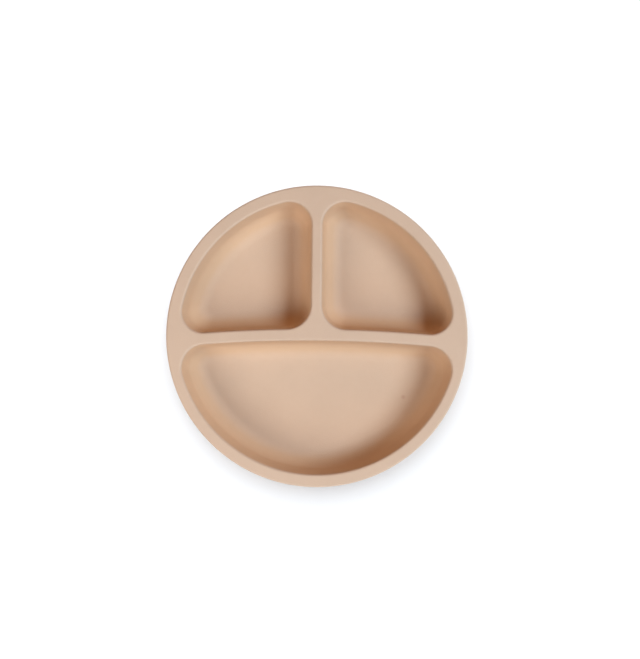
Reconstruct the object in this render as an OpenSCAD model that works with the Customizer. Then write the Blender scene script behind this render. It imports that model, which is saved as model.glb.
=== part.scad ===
// Divided plate of soft silicone, moulded in one piece.
// The origin is at the middle of the foot, on the table, and +Z is up.
// The two small compartments lie on the +Y side and the big one on the -Y side.
// Lengths are in millimetres, and slopes are in degrees from upright.

/* [Plate] */
// Diameter over the rim
plate_d = 190; // [172:1:230]
// Width of the rim beside the small compartments
small_rim_w = 8; // [4:0.5:12]
// Width of the rim at the -Y end of the big compartment, where it is widest
big_rim_w = 7.8; // [4:0.2:12]
// Radius of the rim's outer edge
rim_outer_r = 1.3; // [0.5:0.1:2.5]
// Slope of the outer wall
outer_draft = 20; // [5:1:26]
// Radius where the outer wall turns in under the plate
belly_r = 14; // [6:0.5:16]

/* [Dividers] */
// Width of the short divider, between the two small compartments
short_divider_w = 6.4; // [3:0.1:12]
// Width of the long divider, beside the big compartment
long_divider_w = 7; // [3:0.1:12]
// Radius of the long divider's gentle arch
arch_r = 860; // [400:10:2000]
// Distance of the arch's top from the middle of the plate
arch_rise = 1; // [-6:0.5:10]

/* [Compartments] */
// Depth below the rim
depth = 23; // [15:0.5:30]
// Slope of the compartment walls
wall_draft = 8; // [4:1:30]
// Radius where the walls meet the floor
floor_fillet_r = 12; // [5:0.5:14]
// Radius of the edge between the rim and the walls
rim_inner_r = 1.4; // [0.3:0.1:2]
// Corner radius at the rim, where the two dividers cross
crossing_corner_r = 15.8; // [8:0.1:20]
// Corner radius at the rim, between the short divider and the outer wall
top_corner_r = 14.4; // [8:0.1:20]
// Corner radius at the rim, between the long divider and the small compartments' outer wall
side_corner_r = 13.8; // [8:0.1:20]
// Corner radius at the rim of the big compartment
big_corner_r = 15.1; // [8:0.1:20]
// How far the big compartment's outer arc has its centre from the middle of the plate, towards +Y
big_arc_y = 1.5; // [0:0.1:4]
// Corner radius that is left at the floor, where the walls have leaned in
floor_corner_r = 3; // [1:0.5:6]

/* [Foot] */
// Thickness of the silicone between the floors and the underside
floor_t = 4; // [2:0.5:8]
// Height of the foot below the underside
foot_h = 4; // [3:0.5:8]
// Distance from the rim's outer edge in to the foot
foot_set_back = 30; // [26:1:45]
// Slope of the foot's side, which flares out towards the table
foot_flare = 15; // [0:1:25]
// Radius of the foot's edge on the table
foot_edge_r = 1; // [0.5:0.1:1.2]
// Radius between the foot and the underside
foot_fillet_r = 1.5; // [0.5:0.1:1.5]
// Width of the flat ring on which the foot stands
foot_land_w = 5; // [3:0.5:12]
// Height of the dished hollow inside that ring
dish_h = 1.8; // [0.5:0.1:3]

/* [Smoothness] */
// Steps along each corner
corner_steps = 10; // [6:1:14]
// Steps along each side of a small compartment
side_steps = 22; // [12:1:30]
// Steps around the radius at the floor, and around the belly
fillet_steps = 9; // [5:1:10]
// Steps around the rim's two edges, and along the dish
edge_steps = 4; // [2:1:6]
// Steps around each small radius of the foot
foot_steps = 3; // [2:1:4]

/* [Hidden] */
silicone_beige = [0.835, 0.729, 0.639];

// Heights above the table
floor_z = foot_h + floor_t;
plate_h = floor_z + depth;

// Inner edges of the rim: one arc for the small compartments, and a flatter one for the big one
small_outer_r = plate_d / 2 - small_rim_w;
big_outer_r = plate_d / 2 - big_rim_w + big_arc_y;

// Long divider: centre of its arch on the Y axis, and the arcs of its two edges
arch_y = arch_rise - arch_r;
arch_upper_r = arch_r + long_divider_w / 2;
arch_lower_r = arch_r - long_divider_w / 2;

// Compartment walls: the angle that each radius turns through, and where the flat floor begins
wall_turn = 90 - wall_draft;
rim_inner_reach = rim_inner_r * tan(wall_turn / 2);
floor_inset = depth * tan(wall_draft) + floor_fillet_r * tan(wall_turn / 2);

// The compartments' cutting forms go on above the rim by this much
overcut = 1;

// Points on an arc about c from angle a0 to a1, without its last point
function arc(c, r, a0, a1, steps) =
    [for (i = [0 : steps - 1]) let (a = a0 + (a1 - a0) * i / steps)
        [c[0] + r * cos(a), c[1] + r * sin(a)]];

// Direction from p to q, from 0 to 360
function heading(p, q) =
    let (a = atan2(q[1] - p[1], q[0] - p[0])) a < 0 ? a + 360 : a;

// Where two circles about the Y axis points y0 and y1 meet on the +X side
function meet(y0, r0, y1, r1) =
    let (y = (r0 * r0 - r1 * r1 - y0 * y0 + y1 * y1) / (2 * (y1 - y0)))
    [sqrt(r0 * r0 - (y - y0) * (y - y0)), y];

// Point at x on the upper half of a circle about the Y axis point y0
function above(x, y0, r0) = [x, y0 + sqrt(r0 * r0 - x * x)];

// A corner's radius, which shrinks evenly from the rim to the floor
function corner_r(rim_r, inset) =
    rim_r + (floor_corner_r - rim_r) * inset / floor_inset;

// Outline of the +X small compartment, drawn in by inset from its line at the rim
function small_outline(inset) =
    let (
        middle = [0, 0],
        arch_c = [0, arch_y],
        wall_x = short_divider_w / 2 + inset,
        arch = arch_upper_r + inset,
        outer = small_outer_r - inset,
        crossing_r = corner_r(crossing_corner_r, inset),
        side_r = corner_r(side_corner_r, inset),
        top_r = corner_r(top_corner_r, inset),
        crossing = above(wall_x + crossing_r, arch_y, arch + crossing_r),
        side = meet(arch_y, arch + side_r, 0, outer - side_r),
        top = above(wall_x + top_r, 0, outer - top_r)
    )
    concat(
        arc(crossing, crossing_r, 180, heading(crossing, arch_c), corner_steps),
        arc(arch_c, arch, heading(arch_c, crossing), heading(arch_c, side), side_steps),
        arc(side, side_r, heading(side, arch_c), 360 + heading(middle, side), corner_steps),
        arc(middle, outer, heading(middle, side), heading(middle, top), side_steps),
        arc(top, top_r, heading(middle, top), 180, corner_steps),
        [[wall_x, top[1]]]
    );

// Outline of the big compartment, drawn in by inset from its line at the rim
function big_outline(inset) =
    let (
        outer_c = [0, big_arc_y],
        arch_c = [0, arch_y],
        arch = arch_lower_r - inset,
        outer = big_outer_r - inset,
        end_r = corner_r(big_corner_r, inset),
        right = meet(arch_y, arch - end_r, big_arc_y, outer - end_r),
        left = [-right[0], right[1]]
    )
    concat(
        arc(right, end_r, heading(outer_c, right) - 360, heading(arch_c, right), corner_steps),
        arc(arch_c, arch, heading(arch_c, right), heading(arch_c, left), side_steps),
        arc(left, end_r, heading(arch_c, left), heading(outer_c, left), corner_steps),
        arc(outer_c, outer, heading(outer_c, left), heading(outer_c, right), 2 * side_steps)
    );

// Section of a compartment's wall as [inset, height]: the radius at the floor, then the radius at
// the rim. The straight drafted wall lies between them.
wall_section = concat(
    [for (i = [0 : fillet_steps]) let (a = wall_turn * i / fillet_steps)
        [floor_inset - floor_fillet_r * sin(a), floor_z + floor_fillet_r * (1 - cos(a))]],
    [for (i = [0 : edge_steps]) let (a = wall_turn * (1 - i / edge_steps))
        [rim_inner_r * sin(a) - rim_inner_reach, plate_h - rim_inner_r * (1 - cos(a))]],
    [[-rim_inner_reach, plate_h + overcut]]
);

// Closed form through one ring of points at each height, with each end a fan about its middle
module loft(rings, heights) {
    n = len(rings[0]);
    last = len(rings) - 1;
    low_middle = n * (last + 1);
    high_middle = low_middle + 1;
    points = concat(
        [for (k = [0 : last]) for (p = rings[k]) [p[0], p[1], heights[k]]],
        [for (k = [0, last]) let (m = [for (p = rings[k]) 1 / n] * rings[k]) [m[0], m[1], heights[k]]]
    );
    sides = [for (k = [0 : last - 1]) for (i = [0 : n - 1])
        let (a = k * n + i, b = k * n + (i + 1) % n)
        each [[a, a + n, b + n], [a, b + n, b]]];
    floor_fan = [for (i = [0 : n - 1]) [low_middle, i, (i + 1) % n]];
    top_fan = [for (i = [0 : n - 1]) [high_middle, last * n + (i + 1) % n, last * n + i]];
    polyhedron(points = points, faces = concat(sides, floor_fan, top_fan), convexity = 4);
}

// Hollow of the +X small compartment
module small_compartment() {
    loft([for (s = wall_section) small_outline(s[0])], [for (s = wall_section) s[1]]);
}

// Hollow of the big compartment
module big_compartment() {
    loft([for (s = wall_section) big_outline(s[0])], [for (s = wall_section) s[1]]);
}

// The plate's round blank, turned from its half section
module blank() {
    // Outer edge of the rim, and where it runs into the outer wall
    edge = [plate_d / 2 - rim_outer_r, plate_h - rim_outer_r];
    wall_top = edge + rim_outer_r * [cos(outer_draft), -sin(outer_draft)];

    // Centre of the belly radius, which touches the outer wall and the underside
    belly_z = foot_h + belly_r;
    belly_x = wall_top[0]
        - (belly_r + (wall_top[1] - belly_z) * sin(outer_draft)) / cos(outer_draft);

    // Foot: its edge on the table, its flared side, and the radius up to the underside
    tip = [plate_d / 2 - foot_set_back - foot_edge_r, foot_edge_r];
    side = tip + foot_edge_r * [cos(foot_flare), sin(foot_flare)];
    nook_z = foot_h - foot_fillet_r;
    nook_x = side[0] + (foot_fillet_r - (nook_z - side[1]) * sin(foot_flare)) / cos(foot_flare);

    // Dish inside the flat ring, part of one large sphere
    dish_w = tip[0] - foot_land_w;
    dish_r = (dish_w * dish_w + dish_h * dish_h) / (2 * dish_h);
    dish_half = asin(dish_w / dish_r);

    rotate_extrude($fn = 144)
    polygon(concat(
        [[0, dish_h]],
        [for (i = [1 : edge_steps]) let (a = dish_half * i / edge_steps)
            [dish_r * sin(a), dish_h - dish_r * (1 - cos(a))]],
        arc(tip, foot_edge_r, -90, foot_flare, foot_steps),
        [side],
        arc([nook_x, nook_z], foot_fillet_r, 180 + foot_flare, 90, foot_steps),
        [[nook_x, foot_h]],
        arc([belly_x, belly_z], belly_r, -90, -outer_draft, fillet_steps),
        arc(edge, rim_outer_r, -outer_draft, 90, edge_steps),
        [[edge[0], plate_h], [0, plate_h]]
    ));
}

module plate() {
    color(silicone_beige)
    difference() {
        blank();
        small_compartment();
        mirror([1, 0, 0]) small_compartment();
        big_compartment();
    }
}

plate();
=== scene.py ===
from math import asin, atan2, cos, pi, radians, sin, sqrt, tan

import bmesh
import bpy
from mathutils import Matrix, Vector


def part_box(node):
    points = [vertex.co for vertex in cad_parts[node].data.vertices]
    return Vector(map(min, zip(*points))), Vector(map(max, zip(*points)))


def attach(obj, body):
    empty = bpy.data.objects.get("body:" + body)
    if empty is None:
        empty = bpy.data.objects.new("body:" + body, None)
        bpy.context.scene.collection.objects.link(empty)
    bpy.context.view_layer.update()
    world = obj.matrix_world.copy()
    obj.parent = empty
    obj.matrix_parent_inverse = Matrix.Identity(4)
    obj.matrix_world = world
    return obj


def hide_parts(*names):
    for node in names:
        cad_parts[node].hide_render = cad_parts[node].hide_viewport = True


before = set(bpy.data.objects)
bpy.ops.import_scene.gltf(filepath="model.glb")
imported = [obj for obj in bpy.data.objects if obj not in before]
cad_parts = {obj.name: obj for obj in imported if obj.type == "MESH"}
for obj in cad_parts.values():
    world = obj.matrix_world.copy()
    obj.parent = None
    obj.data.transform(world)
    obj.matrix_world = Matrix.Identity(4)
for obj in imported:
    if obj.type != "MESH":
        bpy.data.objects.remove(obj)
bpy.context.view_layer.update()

# Divided plate of soft silicone, moulded in one piece. It stands on its foot at the origin, and these two
# sizes come from the frame.
plate_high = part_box("plate")[1]
PLATE_R = plate_high.x
RIM_Z = plate_high.z

# Sizes of the moulding in metres, as in the part's source
SMALL_RIM_W = 0.008
BIG_RIM_W = 0.0078
RIM_OUTER_R = 0.0013
OUTER_DRAFT = radians(20)
BELLY_R = 0.014
SHORT_DIVIDER_W = 0.0064
LONG_DIVIDER_W = 0.007
ARCH_R = 0.860
ARCH_RISE = 0.001
DEPTH = 0.023
WALL_DRAFT = radians(8)
FLOOR_FILLET_R = 0.012
RIM_INNER_R = 0.0014
CROSSING_CORNER_R = 0.0158
TOP_CORNER_R = 0.0144
SIDE_CORNER_R = 0.0138
BIG_CORNER_R = 0.0151
BIG_ARC_Y = 0.0015
FLOOR_CORNER_R = 0.003
FOOT_H = 0.004
FOOT_SET_BACK = 0.030
FOOT_FLARE = radians(15)
FOOT_EDGE_R = 0.001
FOOT_FILLET_R = 0.0015
FOOT_LAND_W = 0.005
DISH_H = 0.0018

# How finely the skin is drawn
CORNER_STEPS = 20
SIDE_STEPS = 40
FILLET_STEPS = 22
WALL_STEPS = 4
EDGE_STEPS = 6
TURN_STEPS = 256

# Flat strip beside each edge radius, which keeps the shading of the flats clean
STRIP_W = 0.0003
# Points that lie closer together than this become one
MERGE_DISTANCE = 1e-6

# Worked out from the sizes above
FLOOR_Z = RIM_Z - DEPTH
SMALL_OUTER_R = PLATE_R - SMALL_RIM_W
BIG_OUTER_R = PLATE_R - BIG_RIM_W + BIG_ARC_Y
ARCH_Y = ARCH_RISE - ARCH_R
WALL_TURN = pi / 2 - WALL_DRAFT
RIM_INNER_REACH = RIM_INNER_R * tan(WALL_TURN / 2)
FLOOR_INSET = DEPTH * tan(WALL_DRAFT) + FLOOR_FILLET_R * tan(WALL_TURN / 2)
MIDDLE = (0.0, 0.0)
ARCH_C = (0.0, ARCH_Y)
BIG_ARC_C = (0.0, BIG_ARC_Y)


def arc(c, r, a0, a1, steps):
    """Points on an arc about c from angle a0 to a1, without its last point."""
    turns = [a0 + (a1 - a0) * i / steps for i in range(steps)]
    return [(c[0] + r * cos(a), c[1] + r * sin(a)) for a in turns]


def straight(p, q, steps):
    """Points on a line from p to q, without its last point."""
    shares = [i / steps for i in range(steps)]
    return [(p[0] + (q[0] - p[0]) * s, p[1] + (q[1] - p[1]) * s) for s in shares]


def heading(p, q):
    """Direction from p to q, from 0 to a full turn."""
    return atan2(q[1] - p[1], q[0] - p[0]) % (2 * pi)


def meet(y0, r0, y1, r1):
    """Where two circles about the Y axis points y0 and y1 meet on the +X side."""
    y = (r0 * r0 - r1 * r1 - y0 * y0 + y1 * y1) / (2 * (y1 - y0))
    return (sqrt(r0 * r0 - (y - y0) ** 2), y)


def above(x, y0, r0):
    """Point at x on the upper half of a circle about the Y axis point y0."""
    return (x, y0 + sqrt(r0 * r0 - x * x))


def corner_r(rim_r, inset):
    """A corner's radius, which shrinks evenly from the rim to the floor."""
    return rim_r + (FLOOR_CORNER_R - rim_r) * inset / FLOOR_INSET


def small_outline(inset):
    """Outline of the +X small compartment, drawn in by inset from its line at the rim."""
    wall_x = SHORT_DIVIDER_W / 2 + inset
    arch = ARCH_R + LONG_DIVIDER_W / 2 + inset
    outer = SMALL_OUTER_R - inset
    crossing_r = corner_r(CROSSING_CORNER_R, inset)
    side_r = corner_r(SIDE_CORNER_R, inset)
    top_r = corner_r(TOP_CORNER_R, inset)
    crossing = above(wall_x + crossing_r, ARCH_Y, arch + crossing_r)
    side = meet(ARCH_Y, arch + side_r, 0, outer - side_r)
    top = above(wall_x + top_r, 0, outer - top_r)
    return (
        arc(crossing, crossing_r, pi, heading(crossing, ARCH_C), CORNER_STEPS)
        + arc(ARCH_C, arch, heading(ARCH_C, crossing), heading(ARCH_C, side), SIDE_STEPS)
        + arc(side, side_r, heading(side, ARCH_C), 2 * pi + heading(MIDDLE, side), CORNER_STEPS)
        + arc(MIDDLE, outer, heading(MIDDLE, side), heading(MIDDLE, top), SIDE_STEPS)
        + arc(top, top_r, heading(MIDDLE, top), pi, CORNER_STEPS)
        + straight((wall_x, top[1]), (wall_x, crossing[1]), SIDE_STEPS)
    )


def mirrored_outline(inset):
    """Outline of the -X small compartment."""
    return [(-x, y) for x, y in small_outline(inset)]


def big_outline(inset):
    """Outline of the big compartment, drawn in by inset from its line at the rim."""
    arch = ARCH_R - LONG_DIVIDER_W / 2 - inset
    outer = BIG_OUTER_R - inset
    end_r = corner_r(BIG_CORNER_R, inset)
    right = meet(ARCH_Y, arch - end_r, BIG_ARC_Y, outer - end_r)
    left = (-right[0], right[1])
    return (
        arc(right, end_r, heading(BIG_ARC_C, right) - 2 * pi, heading(ARCH_C, right), CORNER_STEPS)
        + arc(ARCH_C, arch, heading(ARCH_C, right), heading(ARCH_C, left), 2 * SIDE_STEPS)
        + arc(left, end_r, heading(ARCH_C, left), heading(BIG_ARC_C, left), CORNER_STEPS)
        + arc(BIG_ARC_C, outer, heading(BIG_ARC_C, left), heading(BIG_ARC_C, right), 3 * SIDE_STEPS)
    )


def wall_section():
    """Section of a compartment's wall as (inset, height), from the rim's flat down to the floor's."""
    edge = [
        (RIM_INNER_R * sin(a) - RIM_INNER_REACH, RIM_Z - RIM_INNER_R * (1 - cos(a)))
        for a in [WALL_TURN * i / EDGE_STEPS for i in range(EDGE_STEPS + 1)]
    ]
    fillet = [
        (FLOOR_INSET - FLOOR_FILLET_R * sin(a), FLOOR_Z + FLOOR_FILLET_R * (1 - cos(a)))
        for a in [WALL_TURN * (1 - i / FILLET_STEPS) for i in range(FILLET_STEPS + 1)]
    ]
    return (
        [(-RIM_INNER_REACH - STRIP_W, RIM_Z)]
        + edge[:-1]
        + straight(edge[-1], fillet[0], WALL_STEPS)
        + fillet
        + [(FLOOR_INSET + STRIP_W, FLOOR_Z)]
    )


def outer_section():
    """Half section of the outside as (radius, height), from the rim's flat down and in to the middle."""
    edge = (PLATE_R - RIM_OUTER_R, RIM_Z - RIM_OUTER_R)
    wall_top = (edge[0] + RIM_OUTER_R * cos(OUTER_DRAFT), edge[1] - RIM_OUTER_R * sin(OUTER_DRAFT))
    belly_z = FOOT_H + BELLY_R
    belly_x = wall_top[0] - (BELLY_R + (wall_top[1] - belly_z) * sin(OUTER_DRAFT)) / cos(OUTER_DRAFT)
    tip = (PLATE_R - FOOT_SET_BACK - FOOT_EDGE_R, FOOT_EDGE_R)
    side = (tip[0] + FOOT_EDGE_R * cos(FOOT_FLARE), tip[1] + FOOT_EDGE_R * sin(FOOT_FLARE))
    nook_z = FOOT_H - FOOT_FILLET_R
    nook_x = side[0] + (FOOT_FILLET_R - (nook_z - side[1]) * sin(FOOT_FLARE)) / cos(FOOT_FLARE)
    dish_w = tip[0] - FOOT_LAND_W
    dish_r = (dish_w * dish_w + DISH_H * DISH_H) / (2 * DISH_H)
    dish_half = asin(dish_w / dish_r)
    dish_steps = 2 * EDGE_STEPS
    return (
        [(edge[0] - STRIP_W, RIM_Z)]
        + arc(edge, RIM_OUTER_R, pi / 2, -OUTER_DRAFT, 2 * EDGE_STEPS)
        + arc((belly_x, belly_z), BELLY_R, -OUTER_DRAFT, -pi / 2, FILLET_STEPS)
        + [(belly_x, FOOT_H)]
        + arc((nook_x, nook_z), FOOT_FILLET_R, pi / 2, pi + FOOT_FLARE, EDGE_STEPS)
        + arc(tip, FOOT_EDGE_R, FOOT_FLARE, -pi / 2, EDGE_STEPS)
        + [(tip[0], 0.0), (tip[0] - FOOT_LAND_W / 2, 0.0)]
        + [
            (dish_r * sin(a), DISH_H - dish_r * (1 - cos(a)))
            for a in [dish_half * (1 - i / dish_steps) for i in range(dish_steps + 1)]
        ]
    )


def edit(piece):
    """Puts one piece alone in edit mode, with nothing on it selected."""
    bpy.ops.object.select_all(action="DESELECT")
    piece.select_set(True)
    bpy.context.view_layer.objects.active = piece
    bpy.ops.object.mode_set(mode="EDIT")
    bpy.ops.mesh.select_mode(type="VERT")
    bpy.ops.mesh.select_all(action="DESELECT")


def ring_of(name, points):
    """Ring with a number of points, the start of a skin. Its points are laid in place afterwards."""
    bpy.ops.object.select_all(action="DESELECT")
    bpy.ops.mesh.primitive_circle_add(vertices=points, radius=PLATE_R, fill_type="NOTHING")
    skin = bpy.context.object
    skin.name = name
    return skin


def pressed_skin(name, outline):
    """Skin of one compartment: its outline is drawn down the wall ring by ring, and then closed."""
    count = len(outline(0))
    skin = ring_of(name, count)
    # Each point keeps its number around the outline when it is drawn down
    number = skin.data.attributes.new("number", "INT", "POINT")
    number.data.foreach_set("value", range(count))
    edit(skin)
    bpy.ops.mesh.select_all(action="SELECT")
    for level, (inset, z) in enumerate(wall_section()):
        if level:
            bpy.ops.mesh.extrude_edges_indiv()
        mesh = bmesh.from_edit_mesh(skin.data)
        numbers = mesh.verts.layers.int["number"]
        ring = outline(inset)
        for v in mesh.verts:
            if v.select:
                v.co = (*ring[v[numbers]], z)
    bpy.ops.mesh.edge_face_add()
    bpy.ops.object.mode_set(mode="OBJECT")
    skin.data.attributes.remove(skin.data.attributes["number"])
    return skin


def turned_skin(name, section):
    """Skin turned about the Z axis from a half section."""
    skin = ring_of(name, len(section))
    edit(skin)
    mesh = bmesh.from_edit_mesh(skin.data)
    mesh.verts.ensure_lookup_table()
    closing = mesh.edges.get((mesh.verts[0], mesh.verts[-1]))
    mesh.edges.remove(closing)
    for v, (r, z) in zip(mesh.verts, section):
        v.co = (r, 0, z)
    bmesh.update_edit_mesh(skin.data)
    bpy.ops.mesh.select_all(action="SELECT")
    bpy.ops.mesh.spin(steps=TURN_STEPS, angle=2 * pi, center=(0, 0, 0), axis=(0, 0, 1))
    bpy.ops.mesh.select_all(action="SELECT")
    bpy.ops.mesh.remove_doubles(threshold=MERGE_DISTANCE)
    bpy.ops.object.mode_set(mode="OBJECT")
    return skin


def moulding():
    """The whole plate: its outside and three compartments, joined by the flat of the rim and dividers."""
    skins = [
        turned_skin("outside", outer_section()),
        pressed_skin("right_compartment", small_outline),
        pressed_skin("left_compartment", mirrored_outline),
        pressed_skin("big_compartment", big_outline),
    ]
    bpy.ops.object.select_all(action="DESELECT")
    for skin in skins:
        skin.select_set(True)
    plate = skins[0]
    bpy.context.view_layer.objects.active = plate
    bpy.ops.object.join()
    plate.name = "silicone_plate"
    edit(plate)
    # The open edges that are left are those around the flat on top
    bpy.ops.mesh.select_non_manifold(extend=False)
    bpy.ops.mesh.fill(use_beauty=True)
    bpy.ops.mesh.select_all(action="SELECT")
    bpy.ops.mesh.normals_make_consistent(inside=False)
    bpy.ops.object.mode_set(mode="OBJECT")
    bpy.ops.object.shade_smooth()
    bpy.ops.object.transform_apply(location=True, rotation=True, scale=True)
    return plate


def srgb(r, g, b):
    """A colour given as it looks on screen, from 0 to 255, in the shader's own units."""
    def linear(c):
        c /= 255
        return c / 12.92 if c <= 0.04045 else ((c + 0.055) / 1.055) ** 2.4
    return (linear(r), linear(g), linear(b), 1.0)


BLACK = (0.0, 0.0, 0.0, 1.0)
WHITE = (1.0, 1.0, 1.0, 1.0)

# Colour, weak sheen and range of roughness of the silicone
SILICONE = srgb(216, 189, 167)
SHEEN_LEVEL = 0.1
ROUGHNESS = (0.54, 0.64)

# Painted shade: the compartments' walls are painted a little deeper and warmer in tone than the rim and
# the floors, standing in for the shade and warm bounce light in the hollows. This painted shade comes in
# over the first stretch below, measured up from the floor, and goes out over the other two, measured from
# the rim and from the outer wall.
PAINTED_WALL_SHADE = (0.985, 0.91, 0.795)
SHADE_FROM_FLOOR = (-0.001, 0.003)
SHADE_FROM_RIM = (-0.0025, -0.0006)
SHADE_FROM_OUTER_WALL = (-0.0035, -0.0015)

# Patterns, with their scales per metre: slow clouding and a finer mottle of the tone, uneven sheen, and
# the fine grain of the mould
CLOUD_SCALE = 38
CLOUD_DETAIL = 3
CLOUD_DEPTH = 0.03
MOTTLE_SCALE = 260
MOTTLE_DETAIL = 4
MOTTLE_DEPTH = 0.012
SHEEN_DETAIL = 2
GRAIN_SCALE = 1700
GRAIN_DETAIL = 2
GRAIN_HEIGHT = 0.00011
# Noise seldom leaves this range
NOISE_RANGE = (0.3, 0.7)

# A small speck in the floor of the big compartment, which fades out this far above and below the floor
SPECK_PLACE = (0.0567, -0.0395)
SPECK_R = 0.0022
SPECK_TONE = (0.86, 0.76, 0.74)
SPECK_FADE = (0.001, 0.002)


def times(colour, tone):
    """A colour multiplied by a tone, channel by channel."""
    return (*[c * t for c, t in zip(colour, tone)], 1.0)


def noise(nodes, links, place, scale, detail):
    """Even noise through the solid, with its value from 0 to 1."""
    texture = nodes.new("ShaderNodeTexNoise")
    texture.inputs["Scale"].default_value = scale
    texture.inputs["Detail"].default_value = detail
    links.new(place, texture.inputs["Vector"])
    return texture.outputs["Fac"]


def ease(nodes, links, value, low, high, out_low=0.0, out_high=1.0):
    """Turns a value between low and high smoothly into one between out_low and out_high."""
    change = nodes.new("ShaderNodeMapRange")
    change.interpolation_type = "SMOOTHSTEP"
    change.inputs["From Min"].default_value = low
    change.inputs["From Max"].default_value = high
    change.inputs["To Min"].default_value = out_low
    change.inputs["To Max"].default_value = out_high
    links.new(value, change.inputs["Value"])
    return change.outputs["Result"]


def reckon(nodes, links, operation, a, b):
    """One sum on two values, where b may be a plain number."""
    step = nodes.new("ShaderNodeMath")
    step.operation = operation
    links.new(a, step.inputs[0])
    if isinstance(b, float):
        step.inputs[1].default_value = b
    else:
        links.new(b, step.inputs[1])
    return step.outputs[0]


def mix(nodes, links, factor, a, b):
    """Mixes colour a into colour b by a factor, where a may come from another node."""
    blend = nodes.new("ShaderNodeMix")
    blend.data_type = "RGBA"
    links.new(factor, blend.inputs["Factor"])
    if isinstance(a, tuple):
        blend.inputs["A"].default_value = a
    else:
        links.new(a, blend.inputs["A"])
    blend.inputs["B"].default_value = b
    return blend.outputs["Result"]


def painted_shade_on_walls(nodes, links, height, radius):
    """Where the painted shade on the compartments' walls lies, from a point's height and its distance from
    the plate's axis.
    """
    above_floor = ease(nodes, links, height, *[FLOOR_Z + h for h in SHADE_FROM_FLOOR])
    below_rim = ease(nodes, links, height, *[RIM_Z + h for h in SHADE_FROM_RIM], 1.0, 0.0)
    between = reckon(nodes, links, "MULTIPLY", above_floor, below_rim)
    # The outer wall leans in below the rim, so reach is the same all over it, and less inside it
    lean = reckon(nodes, links, "MULTIPLY", height, -tan(OUTER_DRAFT))
    reach = reckon(nodes, links, "ADD", lean, radius)
    outer_wall = PLATE_R - RIM_Z * tan(OUTER_DRAFT)
    inside = ease(nodes, links, reach, *[outer_wall + d for d in SHADE_FROM_OUTER_WALL], 1.0, 0.0)
    return reckon(nodes, links, "MULTIPLY", between, inside)


def on_speck(nodes, links, height, flat):
    """Where the speck is, from a point's height and its place as seen from above."""
    distance = nodes.new("ShaderNodeVectorMath")
    distance.operation = "DISTANCE"
    links.new(flat, distance.inputs[0])
    distance.inputs[1].default_value = (*SPECK_PLACE, 0)
    spot = ease(nodes, links, distance.outputs["Value"], 0.0, SPECK_R, 1.0, 0.0)
    near, far = SPECK_FADE
    not_above = ease(nodes, links, height, FLOOR_Z + near, FLOOR_Z + far, 1.0, 0.0)
    not_below = ease(nodes, links, height, FLOOR_Z - far, FLOOR_Z - near)
    on_floor = reckon(nodes, links, "MULTIPLY", not_above, not_below)
    return reckon(nodes, links, "MULTIPLY", spot, on_floor)


def beige_silicone():
    """Smooth matte silicone: painted shade deepens the tone on the walls, gently clouded, finely grained,
    one speck.
    """
    material = bpy.data.materials.new("beige_silicone")
    material.use_nodes = True
    nodes, links = material.node_tree.nodes, material.node_tree.links
    shader = nodes["Principled BSDF"]
    place = nodes.new("ShaderNodeTexCoord").outputs["Object"]
    split = nodes.new("ShaderNodeSeparateXYZ")
    links.new(place, split.inputs["Vector"])
    height = split.outputs["Z"]
    flat = nodes.new("ShaderNodeCombineXYZ")
    links.new(split.outputs["X"], flat.inputs["X"])
    links.new(split.outputs["Y"], flat.inputs["Y"])
    from_axis = nodes.new("ShaderNodeVectorMath")
    from_axis.operation = "LENGTH"
    links.new(flat.outputs["Vector"], from_axis.inputs[0])

    # Painted shade: the walls' colour is deepened and warmed where they lie in shade
    wall_shade = painted_shade_on_walls(nodes, links, height, from_axis.outputs["Value"])
    tone = mix(nodes, links, wall_shade, SILICONE, times(SILICONE, PAINTED_WALL_SHADE))
    clouding = noise(nodes, links, place, CLOUD_SCALE, CLOUD_DETAIL)
    darker = ease(nodes, links, clouding, *NOISE_RANGE, 0.0, CLOUD_DEPTH)
    tone = mix(nodes, links, darker, tone, BLACK)
    mottle = noise(nodes, links, place, MOTTLE_SCALE, MOTTLE_DETAIL)
    lighter = ease(nodes, links, mottle, *NOISE_RANGE, 0.0, MOTTLE_DEPTH)
    tone = mix(nodes, links, lighter, tone, WHITE)
    speck = on_speck(nodes, links, height, flat.outputs["Vector"])
    tone = mix(nodes, links, speck, tone, times(SILICONE, SPECK_TONE))
    links.new(tone, shader.inputs["Base Color"])

    sheen = noise(nodes, links, place, MOTTLE_SCALE, SHEEN_DETAIL)
    links.new(ease(nodes, links, sheen, *NOISE_RANGE, *ROUGHNESS), shader.inputs["Roughness"])
    shader.inputs["Specular IOR Level"].default_value = SHEEN_LEVEL

    grain = nodes.new("ShaderNodeBump")
    grain.inputs["Distance"].default_value = GRAIN_HEIGHT
    links.new(noise(nodes, links, place, GRAIN_SCALE, GRAIN_DETAIL), grain.inputs["Height"])
    links.new(grain.outputs["Normal"], shader.inputs["Normal"])
    return material


FLOOR_SIZE = 4.0
FLOOR_WHITE = (0.9, 0.9, 0.9, 1.0)


def white_floor():
    """Plain white ground, which shows the plate's shadow."""
    bpy.ops.mesh.primitive_plane_add(size=FLOOR_SIZE)
    floor = bpy.context.object
    floor.name = "floor"
    material = bpy.data.materials.new("white_floor")
    material.use_nodes = True
    shader = material.node_tree.nodes["Principled BSDF"]
    shader.inputs["Base Color"].default_value = FLOOR_WHITE
    shader.inputs["Roughness"].default_value = 1.0
    floor.data.materials.append(material)
    return floor


# The photograph's frame in pixels, and the middle, radius and turn of the plate's rim in it
FRAME_W, FRAME_H = 640, 659
PLATE_PX = (316.1, 336.35)
PLATE_R_PX = 151.2
PLATE_ROLL = radians(-0.46)

# The camera's height above the rim, and how far it stands to the right of the picture's middle, in metres
CAMERA_DISTANCE = 0.50
CAMERA_OFFSET = (0.013, 0.0)
CAMERA_CLIP = 0.01
# Width of the camera's sensor in millimetres
SENSOR_W = 36.0


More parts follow.
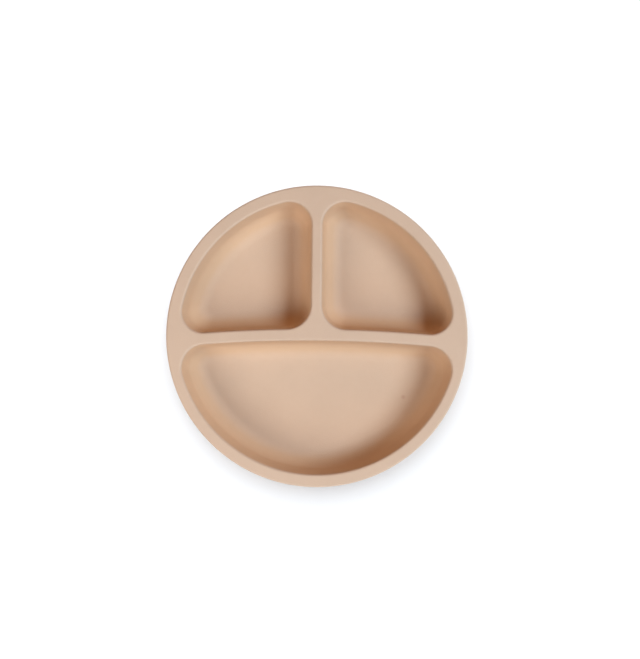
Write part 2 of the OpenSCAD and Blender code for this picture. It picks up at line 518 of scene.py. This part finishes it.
def photo_camera():
    """Camera nearly straight above, framed so that the rim lies where the photograph has it."""
    metre_px = PLATE_R_PX / PLATE_R
    across = (FRAME_W / 2 - PLATE_PX[0]) / metre_px
    up = -(FRAME_H / 2 - PLATE_PX[1]) / metre_px
    turn = Matrix.Rotation(-PLATE_ROLL, 3, "Z")
    aim = turn @ Vector((across, up, 0)) + Vector((0, 0, RIM_Z))
    place = aim + Vector((*CAMERA_OFFSET, CAMERA_DISTANCE))
    back = (place - aim).normalized()
    right = turn @ Vector((1, 0, 0))
    right = (right - right.dot(back) * back).normalized()
    stand = Matrix((right, back.cross(right), back)).transposed().to_4x4()
    camera = bpy.data.objects.new("camera", bpy.data.cameras.new("camera"))
    camera.matrix_world = Matrix.Translation(place) @ stand
    camera.data.sensor_fit = "HORIZONTAL"
    camera.data.sensor_width = SENSOR_W
    camera.data.lens = metre_px * (place - aim).length * SENSOR_W / FRAME_W
    camera.data.clip_start = CAMERA_CLIP
    bpy.context.scene.collection.objects.link(camera)
    bpy.context.scene.camera = camera


# Soft lights on the plate alone. The softbox on the right and the weak light from the front are cool, and
# the front softbox and the weak light from the back are warm. Each light has a name, azimuth, elevation,
# half angle, distance, level and colour. A level of 1 makes a white surface that lies level white.
PLATE_LIGHTS = (
    ("right_softbox", 357, 45, 13, 2.0, 0.63, (0.82, 0.93, 1.0)),
    ("front_softbox", 220, 40, 15, 0.9, 0.347, (1.0, 0.92, 0.82)),
    ("front_bounce", 270, 25, 15, 1.5, 0.072, (0.61, 0.81, 1.0)),
    ("back_bounce", 90, 30, 15, 1.5, 0.056, (1.0, 0.38, 0.05)),
)

# Soft lights on the floor alone, with which it is white apart from the plate's shadow
FLOOR_LIGHTS = (
    ("floor_softbox_left", 140, 72, 35, 12.0, 0.9, (0.935, 1.0, 1.05)),
    ("floor_softbox_right", 45, 72, 35, 12.0, 0.9, (0.935, 1.0, 1.05)),
)

# Faint light from the room
AMBIENT = (0.05, 0.02, 0.015, 1.0)


def soft_light(receiver, name, azimuth, elevation, half_angle, distance, level, colour):
    """Round soft light that faces the origin and lights one object only."""
    azimuth, elevation = radians(azimuth), radians(elevation)
    light = bpy.data.lights.new(name, "AREA")
    light.shape = "DISK"
    light.size = 2 * distance * tan(radians(half_angle))
    # The power that gives the level below the lamp, however far, high and wide it is
    light.energy = level * (pi * distance) ** 2 / sin(elevation)
    light.color = colour
    lamp = bpy.data.objects.new(name, light)
    toward = Vector((cos(elevation) * cos(azimuth), cos(elevation) * sin(azimuth), sin(elevation)))
    lamp.location = toward * distance
    lamp.rotation_euler = toward.to_track_quat("Z", "Y").to_euler()
    bpy.context.scene.collection.objects.link(lamp)
    lit = bpy.data.collections.new(name + "_lights")
    lit.objects.link(receiver)
    lamp.light_linking.receiver_collection = lit


def white_room():
    """Surroundings that are seen, mirrored and seen through as white, but light the plate only faintly."""
    world = bpy.data.worlds.new("white_room")
    bpy.context.scene.world = world
    world.use_nodes = True
    nodes, links = world.node_tree.nodes, world.node_tree.links
    rays = nodes.new("ShaderNodeLightPath").outputs
    seen = reckon(nodes, links, "MAXIMUM", rays["Is Camera Ray"], rays["Is Glossy Ray"])
    seen = reckon(nodes, links, "MAXIMUM", seen, rays["Is Transmission Ray"])
    links.new(mix(nodes, links, seen, AMBIENT, WHITE), nodes["Background"].inputs["Color"])


def studio(plate):
    """White room and floor, with soft light on the plate and on the floor."""
    white_room()
    floor = white_floor()
    for light in PLATE_LIGHTS:
        soft_light(plate, *light)
    for light in FLOOR_LIGHTS:
        soft_light(floor, *light)


plate = moulding()
plate.data.materials.clear()
plate.data.materials.append(beige_silicone())
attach(plate, "root")
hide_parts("plate")
studio(plate)
photo_camera()
bpy.context.scene.view_settings.view_transform = "Standard"
